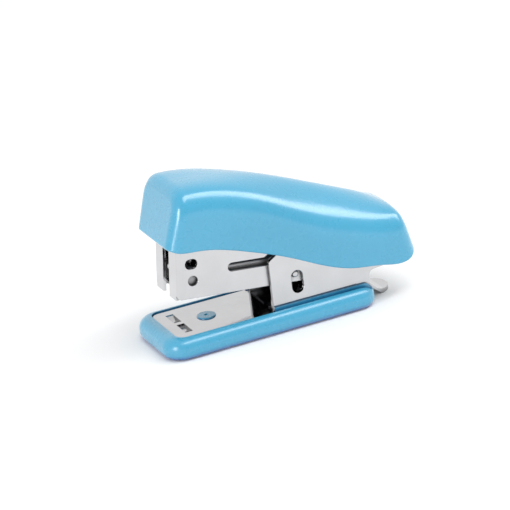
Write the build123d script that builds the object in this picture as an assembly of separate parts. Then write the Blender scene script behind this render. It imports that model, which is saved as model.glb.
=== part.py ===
from build123d import *
from math import cos, radians, sin, tan
import os

# A palm-sized No. 10 stapler. Millimetres. It is laid out from the front edge of the anvil plate:
# +X runs to the rear, +Z up, z = 0 is the anvil plate's top, and the object is symmetric about y = 0.
# Every node is moved at the end so that the origin lies under the middle of the object, on the table.

# Base
SHEET = 0.8  # steel of the base frame
PLATE_HALF = 7.15
PLATE_FRONT_RADIUS = 1.8
CHEEK_OUTER = 6.1
CHEEK_FRONT = 20.0
CHEEK_REAR = 40.05
TRAY_FRONT = -2.9
TRAY_REAR = 40.7
TRAY_HALF = 9.5
TRAY_TAPER = 0.6  # narrower on each side at the rear
TRAY_BOTTOM = -3.9
TRAY_TOP = 0.25
TRAY_TOP_RADIUS = 2.05
TRAY_FOOT_RADIUS = 1.5
TRAY_POCKET_HALF = 7.4
UPSTAND_OUTER = 6.5
UPSTAND_TOP = 0.5
STUD_X = 8.6
STUD_HEAD = 0.25
LIMIT_SLOT = (25.35, 4.44)
LIMIT_SLOT_WIDTH = 2.5
LIMIT_SLOT_HEIGHT = 4.6
LIFT_RIVET_X = 36.0
TAIL_HALF = 3.4
TAIL_TIP = 46.1

# Pivot
PIVOT = (44.0, 8.5)
PIN_RADIUS = 1.5
PIN_BORE = 1.56
PIN_HEAD_RADIUS = 2.3
PIN_HEAD = 0.6

# Magazine, laid out in its own frame: u rearwards along its floor, v up from the floor's underside
NOSE_UP = 6.0  # degrees
NOSE = (1.35, 6.72)  # the magazine frame's origin
WALL = 0.6
MAG_OUTER = 5.2
MAG_INNER = MAG_OUTER - WALL
MAG_FRONT_HEIGHT = 12.0
DRIVE_GAP_END = 2.15  # the staple drive gap runs from the front wall to here
FLAP_SLOT_HALF = 1.5
FLOOR_END = 38.5
SIGHT_SLOT_LOW = 4.05
SIGHT_SLOT_HIGH = 5.78
SIGHT_SLOT_START = 10.3
OVAL_HOLE = (2.95, 6.75)
OVAL_HOLE_LENGTH = 2.5
ROUND_HOLE = (3.24, 3.42)
SIDE_HOLE_RADIUS = 1.0
LUG = (23.81, 1.66)
LUG_RADIUS = 0.7
CORE_OUTER = 3.7
CORE_TOP = 5.0
CORE_END = 38.0
CORE_SLOT_HALF = 0.8
ROD_RADIUS = 0.55
ROD_V = 2.6
PUSHER_START = 2.3
PUSHER_LENGTH = 6.0

# Handle, laid out in the magazine's frame at rest
FRAME_OUTER = 4.1
FRAME_INNER = FRAME_OUTER - WALL
ROOF_FRONT = (2.3, 15.2)
ROOF_REAR = (40.0, 10.3)
ROOF_TILT = 7.4  # degrees
BLADE = 0.4
BLADE_HALF = 4.35
BLADE_LEAN = 3.9  # degrees, half of the driving stroke
BLADE_FOOT = (1.35, 5.75)
DRIVER_RIVET_U = 6.0
SPRING_RIVET_U = 24.0
SNAP_POSTS = (11.2, 32.0)

# Cover: stations along X with the height of its crown and of its shoulders, where it turns down at 45 degrees
COVER_STATIONS = (
    (-4.0, 28.0, 26.9),
    (2.0, 28.3, 27.2),
    (8.0, 28.3, 27.1),
    (14.0, 27.4, 25.7),
    (20.0, 25.9, 23.3),
    (26.0, 23.7, 20.1),
    (32.0, 21.1, 17.2),
    (38.0, 18.4, 14.9),
    (44.0, 15.5, 13.1),
    (54.0, 11.6, 10.0),
)
COVER_SHOULDER_HALF = 7.3
COVER_RIM_HALF = 8.5
COVER_RIM = (
    (-5.0, 20.5),
    (-0.2, 17.8),
    (1.7, 17.05),
    (5.7, 16.5),
    (15.4, 13.8),
    (24.2, 10.1),
    (30.1, 7.1),
    (36.1, 4.95),
    (42.4, 3.9),
    (46.4, 3.35),
    (48.7, 4.3),
    (49.7, 6.0),
    (51.0, 10.0),
)
COVER_WALL = 1.3
COVER_RIM_RADIUS = 0.4
COVER_FRONT = (-0.45, 17.0)  # a point on the front face, and how far it leans back per mm of height
COVER_FRONT_LEAN = 0.31
COVER_REAR = (50.1, 3.5)
COVER_REAR_LEAN = 0.26
COVER_END_RADIUS = 2.6
COVER_SKIRT = 4.0  # the form runs this far below the rim before the rim is cut

ORIGIN = (-(TRAY_FRONT + COVER_REAR[0]) / 2, 0, -TRAY_BOTTOM)


def outline(*corners):
    """A face in the XZ plane through (x, z, corner radius) triples."""
    face = make_face(Polyline(*[(x, z) for x, z, radius in corners], close=True))
    for x, z, radius in corners:
        if radius:
            face = fillet(face.vertices().sort_by_distance((x, z))[0], radius)
    return Plane.XZ * face


def across(face, half, inner=0):
    """The face swept from y = inner to y = half on both sides, or right across."""
    solid = extrude(face, half, both=True)
    if inner:
        solid -= extrude(face, inner, both=True)
    return solid


def box(x0, x1, y0, y1, z0, z1):
    """A box between two corners."""
    centre = ((x0 + x1) / 2, (y0 + y1) / 2, (z0 + z1) / 2)
    return Pos(*centre) * Box(abs(x1 - x0), abs(y1 - y0), abs(z1 - z0))


def wide_box(x0, x1, half, z0, z1):
    """A box that is symmetric about y = 0."""
    return box(x0, x1, -half, half, z0, z1)


def crosswise(x, z, radius, half, inner=0):
    """A cylinder along Y at (x, z), or a pair of short ones from inner to half."""
    return across(Plane.XZ * Pos(x, z) * Circle(radius), half, inner)


def upright(x, radius, z0, z1, y=0):
    """A vertical cylinder."""
    return Pos(x, y, (z0 + z1) / 2) * Cylinder(radius, z1 - z0)


def strip(path, thickness, half):
    """A leaf of even thickness that follows a path in the XZ plane."""
    return across(Plane.XZ * trace(path, thickness), half)


def to_object(shape):
    """Move a shape from the magazine's frame to the object's."""
    return Pos(NOSE[0], 0, NOSE[1]) * Rot(0, NOSE_UP, 0) * shape


def to_magazine(point):
    """A point of the object's XZ plane in the magazine's frame."""
    dx = point[0] - NOSE[0]
    dz = point[1] - NOSE[1]
    c = cos(radians(NOSE_UP))
    s = sin(radians(NOSE_UP))
    return (dx * c - dz * s, dx * s + dz * c)


PIVOT_LOCAL = to_magazine(PIVOT)


def rounded_block(x0, x1, half, z0, z1, front_radius, rear_radius, taper=0):
    """A block with rounded upright corners, narrower at the rear by the taper on each side."""
    rear = half - taper
    face = make_face(Polyline((x0, -half), (x1, -rear), (x1, rear), (x0, half), close=True))
    face = fillet(face.vertices().group_by(Axis.X)[0], front_radius)
    face = fillet(face.vertices().group_by(Axis.X)[-1], rear_radius)
    return Pos(0, 0, z0) * extrude(face, z1 - z0)


# ---------------------------------------------------------------- base


def base_tray():
    """Plastic tray around the base frame, with the stud that holds the frame down."""
    body = rounded_block(TRAY_FRONT, TRAY_REAR, TRAY_HALF, TRAY_BOTTOM, TRAY_TOP, 4.2, 3.6, TRAY_TAPER)
    body = fillet(body.edges().group_by(Axis.Z)[-1], TRAY_TOP_RADIUS)
    body = fillet(body.edges().group_by(Axis.Z)[0], TRAY_FOOT_RADIUS)
    body -= rounded_block(-0.15, TRAY_REAR + 4, TRAY_POCKET_HALF, -SHEET, 3, 1.9, 0.1)
    body += wide_box(34.0, TRAY_REAR - 2.2, TRAY_POCKET_HALF + 0.3, -2.1, -SHEET)
    for side in (-1, 1):
        body -= box(CHEEK_FRONT, 39.4, side * UPSTAND_OUTER, side * TRAY_POCKET_HALF, -2.1, 0)
        upstand = box(CHEEK_FRONT, 39.9, side * CHEEK_OUTER, side * UPSTAND_OUTER, -SHEET, UPSTAND_TOP)
        rear_end = upstand.edges().filter_by(Axis.Y).group_by(Axis.Z)[-1].sort_by(Axis.X)[-1]
        body += fillet(rear_end, 1.2)
    hollow = wide_box(0.5, 37.0, 5.2, TRAY_BOTTOM - 1, -2.3)
    for x in (9.5, 19.0, 28.0):
        hollow -= wide_box(x - 0.5, x + 0.5, TRAY_HALF, TRAY_BOTTOM - 1, 0)
    body -= hollow
    body -= wide_box(38.4, TRAY_REAR + 1, TAIL_HALF + 0.4, TRAY_BOTTOM - 1, 1)
    body += upright(STUD_X, 1.2, -2, 0)
    head = fillet(upright(STUD_X, 1.8, 0, STUD_HEAD).edges().group_by(Axis.Z)[-1], 0.15)
    body += head
    body -= Pos(STUD_X, 0, STUD_HEAD + 0.4) * Sphere(0.6)
    return body


def cheek_face():
    """Side outline of one cheek, with its limit slot and pivot ear."""
    face = outline(
        (CHEEK_FRONT, -SHEET, 0),
        (CHEEK_FRONT, 9.75, 0.9),
        (22.6, 11.3, 3.0),
        (40.0, 10.1, 2.0),
        (43.0, 11.4, 0),
        (46.3, 6.4, 0),
        (43.2, 2.95, 0.5),
        (40.2, 2.7, 1.0),
        (CHEEK_REAR, -SHEET, 0),
    )
    face += Plane.XZ * Pos(*PIVOT) * Circle(3.1)
    slot = SlotOverall(LIMIT_SLOT_HEIGHT, LIMIT_SLOT_WIDTH, rotation=90)
    return face - Plane.XZ * Pos(*LIMIT_SLOT) * slot


def tail():
    """The staple remover: a tongue that steps down to the table behind the base."""
    face = outline(
        (38.8, 0, 0),
        (40.1, 0, 0.9),
        (42.6, -2.5, 1.2),
        (44.0, -3.0, 1.5),
        (TAIL_TIP, -3.1, 0),
        (TAIL_TIP, -3.85, 0),
        (43.6, -3.85, 0.8),
        (39.8, -SHEET, 0.3),
        (38.8, -SHEET, 0),
    )
    plan = rounded_block(38.8, TAIL_TIP, TAIL_HALF, -5, 1, 0.01, TAIL_HALF - 0.05)
    return across(face, TAIL_HALF) & plan


def anvil_trough(side):
    """One clinching trough: a shallow arc across the plate."""
    chord_half = 2.2
    depth = 0.62
    radius = (chord_half**2 + depth**2) / (2 * depth)
    wheel = Rot(0, 90, 0) * Cylinder(radius, 1.5)
    return Pos(3.0, side * 2.75, radius - depth) * wheel


def base_frame():
    """Steel base: anvil plate, two folded cheeks and the staple remover, in one piece."""
    body = rounded_block(0, CHEEK_FRONT - 0.4, PLATE_HALF, -SHEET, 0, PLATE_FRONT_RADIUS, 0.4)
    body += wide_box(CHEEK_FRONT - 1, CHEEK_REAR, CHEEK_OUTER, -SHEET, 0)
    body += across(cheek_face(), CHEEK_OUTER, CHEEK_OUTER - SHEET)
    folds = body.edges().filter_by(Axis.X).group_by(Axis.Z)[0]
    folds = [e for e in folds if abs(abs(e.center().Y) - CHEEK_OUTER) < 0.01 and e.length > 15]
    body = fillet(folds, 0.7)
    body += tail()
    for side in (-1, 1):
        body -= anvil_trough(side)
    body -= upright(STUD_X, 1.25, -1, 1)
    body -= upright(LIFT_RIVET_X, 0.8, -1, 1)
    body -= crosswise(*PIVOT, PIN_RADIUS, 8)
    return body


def lift_spring():
    """Leaf between the base frame and the magazine that holds the nose up."""
    path = Spline((23.0, 3.55), (24.6, 3.95), (29.0, 2.4), (33.4, 0.175), tangents=((1, 0.6), (1, 0)))
    path += Line((33.4, 0.175), (38.4, 0.175))
    return strip(path, 0.35, 4.3) - upright(LIFT_RIVET_X, 0.8, -1, 1)


def lift_spring_rivet():
    """Rivet of the lift spring."""
    head = fillet(upright(LIFT_RIVET_X, 1.4, 0.35, 0.9).edges().group_by(Axis.Z)[-1], 0.4)
    return upright(LIFT_RIVET_X, 0.8, -SHEET, 0.35) + head


def pivot_pin():
    """Riveted pin through the ears of the base frame, the magazine and the handle frame."""
    body = crosswise(*PIVOT, PIN_RADIUS, CHEEK_OUTER)
    body += crosswise(*PIVOT, PIN_HEAD_RADIUS, CHEEK_OUTER + PIN_HEAD, CHEEK_OUTER)
    rims = body.edges().group_by(Axis.Y)
    return fillet(rims[0] + rims[-1], 0.35)


# ---------------------------------------------------------------- magazine


def magazine_wall_face():
    """Side outline of the magazine, with the sight slot that is open to the rear."""
    u, v = PIVOT_LOCAL
    face = outline(
        (0, 0, 1.0),
        (FLOOR_END, 0, 3.0),
        (u + 1.9, v - 2.2, 0),
        (u - 1.9, v + 2.2, 0),
        (36.2, SIGHT_SLOT_LOW, 2.0),
        (17.4, SIGHT_SLOT_LOW, 0),
        (17.4, 5.55, 0),
        (23.2, 9.5, 0.8),
        (7.0, MAG_FRONT_HEIGHT, 3.0),
        (0, MAG_FRONT_HEIGHT, 0.4),
    )
    face += Plane.XZ * Pos(u, v) * Circle(2.9)
    height = SIGHT_SLOT_HIGH - SIGHT_SLOT_LOW
    slot = Pos(SIGHT_SLOT_START + 5, SIGHT_SLOT_LOW + height / 2) * SlotOverall(10, height)
    return face - Plane.XZ * slot


def magazine():
    """Steel channel that holds the staples; its front is closed by two flaps."""
    face = magazine_wall_face()
    body = across(face, MAG_OUTER, MAG_INNER)
    body += wide_box(DRIVE_GAP_END, FLOOR_END - 1.2, MAG_INNER, 0, WALL)
    front = wide_box(0, WALL, MAG_OUTER, -0.15, MAG_FRONT_HEIGHT)
    front -= wide_box(-1, 1, FLAP_SLOT_HALF, -1, MAG_FRONT_HEIGHT + 1)
    for side in (-1, 1):
        front -= box(-1, 2, side * (MAG_OUTER - 0.6), side * 6, -1, 0.7)
    body += front
    folds = body.edges().filter_by(Axis.Z).group_by(Axis.X)[0]
    folds = [e for e in folds if abs(e.center().Y) > MAG_OUTER - 0.01 and e.length > 8]
    body = fillet(folds, 0.45)
    body -= crosswise(*ROUND_HOLE, SIDE_HOLE_RADIUS, 6, MAG_INNER - 0.3)
    oval = Plane.XZ * Pos(*OVAL_HOLE) * SlotOverall(OVAL_HOLE_LENGTH, 2 * SIDE_HOLE_RADIUS)
    body -= across(oval, 6, MAG_INNER - 0.3)
    body += crosswise(*LUG, LUG_RADIUS, MAG_OUTER + 0.65, MAG_OUTER - 0.2)
    ends = [e for e in body.edges().filter_by(GeomType.CIRCLE) if abs(e.center().Y) > MAG_OUTER + 0.6]
    body = fillet(ends, 0.4)
    body -= crosswise(*PIVOT_LOCAL, PIN_BORE, 8)
    return body


def staple_core():
    """Inverted channel that the staples ride on, with end webs that hold the guide rod."""
    body = wide_box(DRIVE_GAP_END, CORE_END, CORE_OUTER, WALL, CORE_TOP)
    long_edges = body.edges().filter_by(Axis.X).group_by(Axis.Z)[-1]
    body = fillet(long_edges, 0.5)
    body -= wide_box(DRIVE_GAP_END + WALL, CORE_END - WALL, CORE_OUTER - WALL, 0, CORE_TOP - WALL)
    body -= wide_box(3.4, CORE_END - WALL - 1, CORE_SLOT_HALF, CORE_TOP - 1, CORE_TOP + 1)
    bore = Pos(20, 0, ROD_V) * Rot(0, 90, 0) * Cylinder(ROD_RADIUS + 0.05, 50)
    return body - bore


def guide_rod():
    """Rod that carries the pusher spring; its rear end is headed."""
    length = CORE_END - DRIVE_GAP_END
    rod = Cylinder(ROD_RADIUS, length + 0.2)
    head = Pos(0, 0, length / 2 + 0.3) * Cylinder(1.1, 0.5)
    return Pos(DRIVE_GAP_END + length / 2, 0, ROD_V) * Rot(0, 90, 0) * (rod + head)


def pusher():
    """Saddle over the core; its keel reaches down through the core's slot to the rod."""
    start = PUSHER_START
    end = start + PUSHER_LENGTH
    body = wide_box(start, end, 4.4, 0.9, CORE_TOP + 0.7)
    body = fillet(body.edges().filter_by(Axis.X).group_by(Axis.Z)[-1], 0.5)
    body -= wide_box(start - 1, end + 1, CORE_OUTER + 0.12, 0, CORE_TOP + 0.1)
    body += wide_box(start + 1.7, start + 4.7, 0.55, ROD_V, CORE_TOP + 0.4)
    body += Pos(start + 3.2, 0, ROD_V) * Rot(0, 90, 0) * Cylinder(1.5, 3)
    bore = Pos(start + 3.2, 0, ROD_V) * Rot(0, 90, 0) * Cylinder(ROD_RADIUS + 0.07, 5)
    return body - bore


def pusher_spring():
    """Compression spring from the pusher's keel to the core's rear web."""
    start = PUSHER_START + 4.7 + 0.2
    length = CORE_END - WALL - start - 0.2
    helix = Helix(pitch=length / 19, height=length, radius=1.15)
    wire = Plane(helix @ 0, z_dir=helix % 0) * Circle(0.17)
    coil = sweep(wire, path=helix, is_frenet=True)
    return Pos(start, 0, ROD_V) * Rot(0, 90, 0) * coil


# ---------------------------------------------------------------- handle


def roof_height(u, drop=0):
    """Height of the handle frame's roof above the magazine frame at u."""
    slope = (ROOF_REAR[1] - ROOF_FRONT[1]) / (ROOF_REAR[0] - ROOF_FRONT[0])
    return ROOF_FRONT[1] + slope * (u - ROOF_FRONT[0]) - drop


def under_roof(u0, u1, half, top, bottom):
    """A plate that follows the roof's slope between two depths below its top."""
    face = outline(
        (u0, roof_height(u0, top), 0),
        (u1, roof_height(u1, top), 0),
        (u1, roof_height(u1, bottom), 0),
        (u0, roof_height(u0, bottom), 0),
    )
    return across(face, half)


def roof_rivet(u, depth):
    """A rivet square to the roof, through the plates beneath it."""
    shank = upright(0, 0.8, -depth, 0)
    heads = upright(0, 1.4, 0, 0.5) + upright(0, 1.3, -depth - 0.4, -depth)
    heads = fillet(heads.edges().group_by(Axis.Z)[-1], 0.35)
    return Pos(u, 0, roof_height(u)) * Rot(0, ROOF_TILT, 0) * (shank + heads)


def handle_frame():
    """Inverted steel channel that carries the driver and turns on the pivot pin."""
    u, v = PIVOT_LOCAL
    side = outline(
        (ROOF_FRONT[0], 11.5, 1.0),
        (36.0, 7.3, 4.0),
        (u - 1.2, v - 2.3, 0),
        (u + 1.5, v + 2.1, 0),
        (ROOF_REAR[0], ROOF_REAR[1], 2.0),
        (ROOF_FRONT[0], ROOF_FRONT[1], 0),
    )
    side += Plane.XZ * Pos(u, v) * Circle(2.6)
    body = across(side, FRAME_OUTER, FRAME_INNER)
    body += under_roof(ROOF_FRONT[0], ROOF_REAR[0] - 2, FRAME_OUTER, 0, WALL)
    body -= crosswise(u, v, PIN_BORE, 8)
    for rivet in (DRIVER_RIVET_U, SPRING_RIVET_U):
        body -= roof_rivet(rivet, 2)
    for post in SNAP_POSTS:
        body -= wide_box(post - 1.3, post + 1.3, 1.6, 5, 20)
    return body


def driver_blade():
    """Thin blade that drives the staple, with a flange riveted under the roof."""
    rise = roof_height(2.0, WALL) - BLADE_FOOT[1]
    plate = Pos(0, 0, rise / 2) * Box(BLADE, 2 * BLADE_HALF, rise)
    blade = Pos(BLADE_FOOT[0], 0, BLADE_FOOT[1]) * Rot(0, BLADE_LEAN, 0) * plate
    blade -= under_roof(-4, 12, 8, -5, WALL)
    for side in (-1, 1):
        blade -= box(-1, 6, side * 3.3, side * 8, 12.6, 20)
    flange = under_roof(1.9, 9.2, 3.3, WALL, WALL + BLADE)
    return blade + flange - roof_rivet(DRIVER_RIVET_U, 2)


def return_spring():
    """Leaf under the roof; its curled tip rests over the front of the core."""
    flat = 0.2 + WALL
    path = Line((27.0, roof_height(27.0, flat)), (21.5, roof_height(21.5, flat)))
    sweep_down = Spline(
        (21.5, roof_height(21.5, flat)),
        (13.0, 11.4),
        (6.9, 7.1),
        (4.3, 5.98),
        tangents=((-1, 0.03), (-1, -0.1)),
    )
    path += sweep_down
    path += ThreePointArc((4.3, 5.98), (3.6, 6.5), (4.3, 7.02))
    return strip(path, 0.35, 3.4) - roof_rivet(SPRING_RIVET_U, 2)


def rim_height(x):
    """Height of the cover's rim at x, straight between the rim's points."""
    for near, far in zip(COVER_RIM, COVER_RIM[1:]):
        if near[0] <= x <= far[0]:
            return near[1] + (far[1] - near[1]) * (x - near[0]) / (far[0] - near[0])
    return COVER_RIM[-1][1]


def cover_section(x, crown, shoulder, wall=0):
    """One cross-section of the cover's form, or of its hollow when a wall is given."""
    level = min(max(x, COVER_RIM[2][0]), COVER_RIM[-4][0])
    low = rim_height(level) - COVER_SKIRT - wall
    half = COVER_RIM_HALF - wall
    shoulder_half = COVER_SHOULDER_HALF - wall * 0.71
    shoulder_height = shoulder - wall * 0.71
    skin = Spline(
        (-half, low),
        (-shoulder_half, shoulder_height),
        (0, crown - wall),
        (shoulder_half, shoulder_height),
        (half, low),
        tangents=((0, 1), (1, 1), (1, 0), (1, -1), (0, -1)),
    )
    face = make_face(skin + Line((half, low), (-half, low)))
    return Plane((x, 0, 0), x_dir=(0, 1, 0), z_dir=(1, 0, 0)) * face


def between_ends(wall=0):
    """The space between the cover's leaning front and rear faces."""
    corners = []
    for z, order in ((-10, 1), (40, -1)):
        front = COVER_FRONT[0] + wall + (z - COVER_FRONT[1]) * COVER_FRONT_LEAN
        rear = COVER_REAR[0] - wall - (z - COVER_REAR[1]) * COVER_REAR_LEAN
        corners += [(front, z, 0), (rear, z, 0)][::order]
    return across(outline(*corners), 20)


def cover_form(wall=0):
    """The cover's outer form, or its hollow when a wall is given."""
    sections = [cover_section(*station, wall) for station in COVER_STATIONS]
    body = loft(sections) & between_ends(wall)
    ends = [e for e in body.edges() if e.length > 30 and e.bounding_box().size.Y > 10]
    return fillet([e for e in ends if e.bounding_box().size.X < 6], COVER_END_RADIUS - wall)


def below_rim():
    """All the space below the cover's wavy rim."""
    wave = Spline(*COVER_RIM)
    first = COVER_RIM[0]
    last = COVER_RIM[-1]
    clear = last[0] + COVER_SKIRT
    frame = Polyline(last, (clear, last[1]), (clear, -10), (first[0], -10), first)
    return across(Plane.XZ * make_face(wave + frame), 20)


def snap_post(u):
    """A barbed post that hangs from the cover's ceiling through the handle frame's roof."""
    top = roof_height(u)
    post = wide_box(u - 1.1, u + 1.1, 1.3, top - 1.6, top + 9)
    barb = wide_box(u - 1.1, u + 1.1, 1.9, top - 1.6, top - 0.95)
    return post + barb


def cover_ribs():
    """Cross ribs that seat the cover on the handle frame's roof."""
    ribs = [under_roof(u, u + 1.0, FRAME_OUTER, -12, -0.05) for u in (8.5, 19.0, 27.0, 36.0)]
    return ribs + [snap_post(u) for u in SNAP_POSTS]


def outer_rim(body):
    """The outer edges of the cover's rim, right round."""
    rim = [e for e in body.edges() if abs(e.center().Z - rim_height(e.center().X)) < 1.2]
    sides = [e for e in rim if abs(e.center().Y) > COVER_RIM_HALF - 0.9]
    ends = [e for e in rim if e.center().X < 0.2 or e.center().X > 49.2]
    return sides + [e for e in ends if e not in sides]


def top_cover():
    """Moulded cover that the palm presses."""
    form = cover_form()
    body = form - cover_form(COVER_WALL) - below_rim()
    body = fillet(outer_rim(body), COVER_RIM_RADIUS)
    for rib in cover_ribs():
        body += to_object(rib) & form
    return body


NODES = {
    "base_tray": base_tray(),
    "base_frame": base_frame(),
    "lift_spring": lift_spring(),
    "lift_spring_rivet": lift_spring_rivet(),
    "pivot_pin": pivot_pin(),
    "magazine": to_object(magazine()),
    "staple_core": to_object(staple_core()),
    "guide_rod": to_object(guide_rod()),
    "pusher": to_object(pusher()),
    "pusher_spring": to_object(pusher_spring()),
    "handle_frame": to_object(handle_frame()),
    "driver_blade": to_object(driver_blade()),
    "driver_rivet": to_object(roof_rivet(DRIVER_RIVET_U, WALL + BLADE)),
    "return_spring": to_object(return_spring()),
    "return_spring_rivet": to_object(roof_rivet(SPRING_RIVET_U, WALL + 0.4)),
    "top_cover": top_cover(),
}

os.makedirs("parts", exist_ok=True)
for name, shape in NODES.items():
    export_step(Pos(*ORIGIN) * shape, f"parts/{name}.step")
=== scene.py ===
import math

import bpy
from mathutils import Matrix, Vector


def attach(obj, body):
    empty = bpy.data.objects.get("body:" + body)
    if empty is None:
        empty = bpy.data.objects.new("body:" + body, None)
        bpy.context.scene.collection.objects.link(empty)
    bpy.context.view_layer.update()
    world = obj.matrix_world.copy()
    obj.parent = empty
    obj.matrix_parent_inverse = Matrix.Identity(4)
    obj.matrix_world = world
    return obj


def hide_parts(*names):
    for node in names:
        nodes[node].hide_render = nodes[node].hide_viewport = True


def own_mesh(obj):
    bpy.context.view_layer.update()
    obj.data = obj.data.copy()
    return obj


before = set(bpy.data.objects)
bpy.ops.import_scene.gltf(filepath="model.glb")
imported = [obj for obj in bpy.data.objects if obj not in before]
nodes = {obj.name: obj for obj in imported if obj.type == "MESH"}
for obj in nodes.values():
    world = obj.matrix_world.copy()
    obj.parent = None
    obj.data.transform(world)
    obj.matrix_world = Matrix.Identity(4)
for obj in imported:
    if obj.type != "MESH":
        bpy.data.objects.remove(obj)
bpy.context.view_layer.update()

SKY_BLUE = (0.046, 0.345, 0.545)
# Painted shade: the deep blue that the plastic turns to in grooves and recesses.
SHADE_BLUE = (0.006, 0.080, 0.330)
NICKEL = (0.58, 0.58, 0.59)
STEEL = (0.50, 0.50, 0.51)
# Painted shade: the near black that the steel turns to in recesses.
RECESS_SHADE = (0.045, 0.043, 0.042)
# Painted shade: the lift spring's near-black colour stands in for the shade under the magazine, between
# the cheeks.
SHADE_BLACK = (0.035, 0.036, 0.045)


# ---------------------------------------------------------------- materials


class Shader:
    """A new node material, with short calls for adding and joining its nodes."""

    def __init__(self, name):
        self.material = bpy.data.materials.new(name)
        self.material.use_nodes = True
        self.tree = self.material.node_tree
        self.tree.nodes.clear()
        self.out = self.add("ShaderNodeOutputMaterial")
        self.surface = self.add("ShaderNodeBsdfPrincipled")
        self.join(self.surface.outputs["BSDF"], self.out.inputs["Surface"])
        self.place = self.add("ShaderNodeTexCoord").outputs["Object"]

    def add(self, kind, **values):
        node = self.tree.nodes.new(kind)
        for key, value in values.items():
            setattr(node, key, value)
        return node

    def join(self, source, target):
        self.tree.links.new(source, target)

    def set(self, **values):
        for key, value in values.items():
            self.surface.inputs[key.replace("_", " ")].default_value = value

    def noise(self, scale, detail=3.0, roughness=0.55, stretch=None):
        """Noise over the object's own coordinates, drawn out along an axis if stretch is given."""
        node = self.add("ShaderNodeTexNoise")
        node.inputs["Scale"].default_value = scale
        node.inputs["Detail"].default_value = detail
        node.inputs["Roughness"].default_value = roughness
        source = self.place
        if stretch:
            mapping = self.add("ShaderNodeMapping")
            mapping.inputs["Scale"].default_value = stretch
            self.join(source, mapping.inputs["Vector"])
            source = mapping.outputs["Vector"]
        self.join(source, node.inputs["Vector"])
        return node.outputs["Fac"]

    def spread(self, source, low, high, start=0.3, end=0.7):
        """The source stretched from start..end to low..high."""
        node = self.add("ShaderNodeMapRange")
        for key, value in (("From Min", start), ("From Max", end), ("To Min", low), ("To Max", high)):
            node.inputs[key].default_value = value
        self.join(source, node.inputs["Value"])
        return node.outputs["Result"]

    def blend(self, factor, first, second):
        """A colour between two colours by the factor."""
        node = self.add("ShaderNodeMix", data_type="RGBA")
        self.join(factor, node.inputs["Factor"])
        for socket, colour in ((6, first), (7, second)):
            if isinstance(colour, tuple):
                node.inputs[socket].default_value = (*colour, 1.0)
            else:
                self.join(colour, node.inputs[socket])
        return node.outputs[2]

    def soft_edges(self, radius):
        """A normal that rounds every edge, and how near a surface point is to an edge."""
        bevel = self.add("ShaderNodeBevel", samples=6)
        bevel.inputs["Radius"].default_value = radius
        geometry = self.add("ShaderNodeNewGeometry")
        dot = self.add("ShaderNodeVectorMath", operation="DOT_PRODUCT")
        self.join(bevel.outputs["Normal"], dot.inputs[0])
        self.join(geometry.outputs["Normal"], dot.inputs[1])
        return bevel.outputs["Normal"], self.spread(dot.outputs["Value"], 1.0, 0.0, 0.90, 0.998)

    def shelter(self, distance, low, high):
        """1 where the surface is closely walled in, such as a groove or a recess, and 0 in the open; it
        sets where shade is painted into a colour.
        """
        occlusion = self.add("ShaderNodeAmbientOcclusion", samples=8)
        occlusion.inputs["Distance"].default_value = distance
        return self.spread(occlusion.outputs["AO"], 1.0, 0.0, low, high)

    def bump(self, height, strength, distance, normal=None):
        """A normal tilted by the height, on top of another normal if one is given."""
        node = self.add("ShaderNodeBump")
        node.inputs["Strength"].default_value = strength
        node.inputs["Distance"].default_value = distance
        self.join(height, node.inputs["Height"])
        if normal:
            self.join(normal, node.inputs["Normal"])
        return node.outputs["Normal"]


def shade(colour, factor):
    """The colour made lighter or darker."""
    return tuple(min(1.0, channel * factor) for channel in colour)


def moulded_plastic(name, colour, coat_roughness):
    """Glossy moulded plastic: slight flow mottling, orange peel, and painted shade, a deeper blue in
    its grooves and recesses.
    """
    s = Shader(name)
    mottle = s.noise(55.0, 2.0)
    body = s.blend(s.spread(mottle, 0.0, 1.0), shade(colour, 0.965), shade(colour, 1.03))
    # Painted shade: the colour turns deep blue in grooves, recesses and along the foot, where shade
    # falls.
    s.join(s.blend(s.shelter(0.0022, 0.18, 0.80), body, SHADE_BLUE), s.surface.inputs["Base Color"])
    s.join(s.spread(s.noise(420.0, 4.0), 0.24, 0.32), s.surface.inputs["Roughness"])
    peel = s.bump(s.noise(600.0, 1.0), 0.010, 0.00003)
    grain = s.bump(s.noise(9000.0, 1.0), 0.008, 0.00001, peel)
    s.join(grain, s.surface.inputs["Normal"])
    s.set(IOR=1.50, Coat_Weight=1.0, Coat_Roughness=coat_roughness)
    return s.material


def sheet_steel(name, colour, smoothest, roughest, streak):
    """Rolled sheet: lines along X, a few handling scratches, bright sheared edges, and painted shade,
    near black, in its recesses.
    """
    s = Shader(name)
    normal, edge = s.soft_edges(0.00010)
    lines = s.noise(1.0, 3.0, 0.6, (90.0, 5200.0, 5200.0))
    cloud = s.noise(180.0, 3.0)
    tone = s.blend(s.spread(cloud, 0.0, 1.0), shade(colour, 0.95), shade(colour, 1.03))
    worn = s.blend(s.spread(edge, 0.0, 0.6, 0.0, 1.0), tone, shade(colour, 1.25))
    # Painted shade: the colour turns near black in recesses and tight corners, where shade falls.
    s.join(s.blend(s.shelter(0.0012, 0.20, 0.90), worn, RECESS_SHADE), s.surface.inputs["Base Color"])
    polish = s.spread(lines, smoothest, roughest)
    s.join(polish, s.surface.inputs["Roughness"])
    lined = s.bump(lines, streak, 0.000008, normal)
    scratch = s.noise(1.0, 1.0, 0.5, (700.0, 2600.0, 240.0))
    marks = s.bump(s.spread(scratch, 0.0, 1.0, 0.70, 0.74), 0.10, 0.000006, lined)
    s.join(marks, s.surface.inputs["Normal"])
    s.set(Metallic=1.0)
    return s.material


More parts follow.
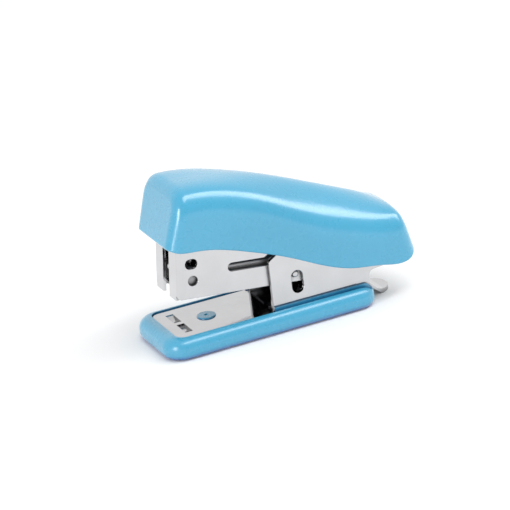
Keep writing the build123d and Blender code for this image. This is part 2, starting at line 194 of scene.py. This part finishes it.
blue_plastic = moulded_plastic("blue_plastic_detail", SKY_BLUE, 0.18)
tray_plastic = moulded_plastic("tray_plastic_detail", SKY_BLUE, 0.30)
bright_steel = sheet_steel("bright_steel_detail", NICKEL, 0.05, 0.11, 0.10)
satin_steel = sheet_steel("satin_steel_detail", STEEL, 0.22, 0.34, 0.25)
# Painted shade: the lift spring is made near black so that it reads as the shade between the cheeks.
shade_black_steel = sheet_steel("shade_black_steel_detail", SHADE_BLACK, 0.22, 0.36, 0.15)
dull_steel = sheet_steel("dull_steel_detail", STEEL, 0.42, 0.55, 0.15)
bright_spring = sheet_steel("bright_spring_detail", NICKEL, 0.10, 0.18, 0.15)

FINISHES = {
    "base_tray": tray_plastic,
    "top_cover": blue_plastic,
    "base_frame": bright_steel,
    "magazine": bright_steel,
    "staple_core": dull_steel,
    "pusher": dull_steel,
    "lift_spring": shade_black_steel,
    "return_spring": bright_spring,
    "pusher_spring": bright_spring,
}
for name, node in nodes.items():
    finish = FINISHES.get(name, satin_steel)
    if not node.material_slots:
        node.data.materials.append(finish)
    for slot in node.material_slots:
        slot.material = finish


# ---------------------------------------------------------------- stand-in springs


def working_spring(name, body):
    """A copy of the CAD spring's mesh that stands for it on the body, with the CAD spring hidden."""
    source = nodes[name]
    piece = bpy.data.objects.new(name + "_working", source.data.copy())
    bpy.context.scene.collection.objects.link(piece)
    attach(piece, body)
    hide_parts(name)
    return piece


lift_spring = working_spring("lift_spring", "base")
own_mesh(lift_spring)

pusher_spring = working_spring("pusher_spring", "magazine")
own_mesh(pusher_spring)


# ---------------------------------------------------------------- floor, light, camera


def plain(name, colour, roughness, glow):
    """An even, matt surface that gives off a little light, so that shadows on it stay pale."""
    s = Shader(name)
    tone = s.blend(s.spread(s.noise(3.0, 2.0), 0.0, 1.0), shade(colour, 0.99), colour)
    s.join(tone, s.surface.inputs["Base Color"])
    s.set(Roughness=roughness, Emission_Strength=glow)
    return s.material


def floor_plane(half):
    """A square of white paper at the height the object stands on."""
    mesh = bpy.data.meshes.new("floor")
    corners = [(-half, -half, 0), (half, -half, 0), (half, half, 0), (-half, half, 0)]
    mesh.from_pydata(corners, [], [(0, 1, 2, 3)])
    mesh.materials.append(plain("floor_paper", (0.86, 0.86, 0.86), 0.9, 0.06))
    floor = bpy.data.objects.new("floor", mesh)
    bpy.context.scene.collection.objects.link(floor)
    return floor


floor_plane(6.0)


def softbox(name, direction, along, distance, width, height, radiance):
    """An area light in a direction from the origin, with its width laid along another direction."""
    data = bpy.data.lights.new(name, "AREA")
    data.shape = "RECTANGLE"
    data.size = width
    data.size_y = height
    data.energy = radiance * math.pi * width * height
    light = bpy.data.objects.new(name, data)
    outward = Vector(direction).normalized()
    wide = Vector(along)
    wide = (wide - outward * wide.dot(outward)).normalized()
    turn = Matrix((wide, outward.cross(wide), outward)).transposed()
    light.matrix_world = Matrix.Translation(outward * distance) @ turn.to_4x4()
    bpy.context.scene.collection.objects.link(light)


softbox("shoulder_strip", (0.45, -0.30, 0.84), (0.54, 0.23, -0.22), 0.55, 0.85, 0.17, 5.2)
softbox("corner_strip", (-0.91, -0.46, 0.16), (0.0, 0.0, 1.0), 0.50, 0.30, 0.11, 10.0)


def studio(near, far):
    """A white room that is brighter beyond the object than behind the camera."""
    world = bpy.data.worlds.new("studio")
    world.use_nodes = True
    tree = world.node_tree
    place = tree.nodes.new("ShaderNodeTexCoord")
    split = tree.nodes.new("ShaderNodeSeparateXYZ")
    level = tree.nodes.new("ShaderNodeMapRange")
    level.inputs["From Min"].default_value = -0.8
    level.inputs["From Max"].default_value = 0.8
    level.inputs["To Min"].default_value = near
    level.inputs["To Max"].default_value = far
    tree.links.new(place.outputs["Generated"], split.inputs["Vector"])
    tree.links.new(split.outputs["Y"], level.inputs["Value"])
    tree.links.new(level.outputs["Result"], tree.nodes["Background"].inputs["Strength"])
    tree.nodes["Background"].inputs["Color"].default_value = (1.0, 1.0, 1.0, 1.0)
    return world


bpy.context.scene.world = studio(0.58, 1.0)
bpy.context.scene.view_settings.view_transform = "Standard"

# The camera looks down from the nose end at the near side, with the horizon tilted a little.
TARGET = Vector((0.0064, 0.0, 0.0189))
AZIMUTH = math.radians(22.5)
ELEVATION = math.radians(20.957)
ROLL = math.radians(6.673)
DISTANCE = 0.6
SENSOR = 36.0
FOCAL = 6.2353  # focal length over sensor width
OFFSET = (-0.014245, -0.012893)  # aim beside the target, as tangents

back = Vector((
    -math.sin(AZIMUTH) * math.cos(ELEVATION),
    -math.cos(AZIMUTH) * math.cos(ELEVATION),
    math.sin(ELEVATION),
))
level = Vector((math.cos(AZIMUTH), -math.sin(AZIMUTH), 0.0))
upward = back.cross(level)
right = level * math.cos(ROLL) - upward * math.sin(ROLL)
up = level * math.sin(ROLL) + upward * math.cos(ROLL)
aim = (-back + right * OFFSET[0] + up * OFFSET[1]).normalized()
side = (right - aim * right.dot(aim)).normalized()
above = side.cross(aim)

camera_data = bpy.data.cameras.new("camera")
camera_data.sensor_width = SENSOR
camera_data.lens = SENSOR * FOCAL
camera_data.clip_start = 0.01
camera_data.clip_end = 50.0
camera = bpy.data.objects.new("camera", camera_data)
turn = Matrix((side, above, -aim)).transposed()
camera.matrix_world = Matrix.Translation(TARGET + back * DISTANCE) @ turn.to_4x4()
bpy.context.scene.collection.objects.link(camera)
bpy.context.scene.camera = camera
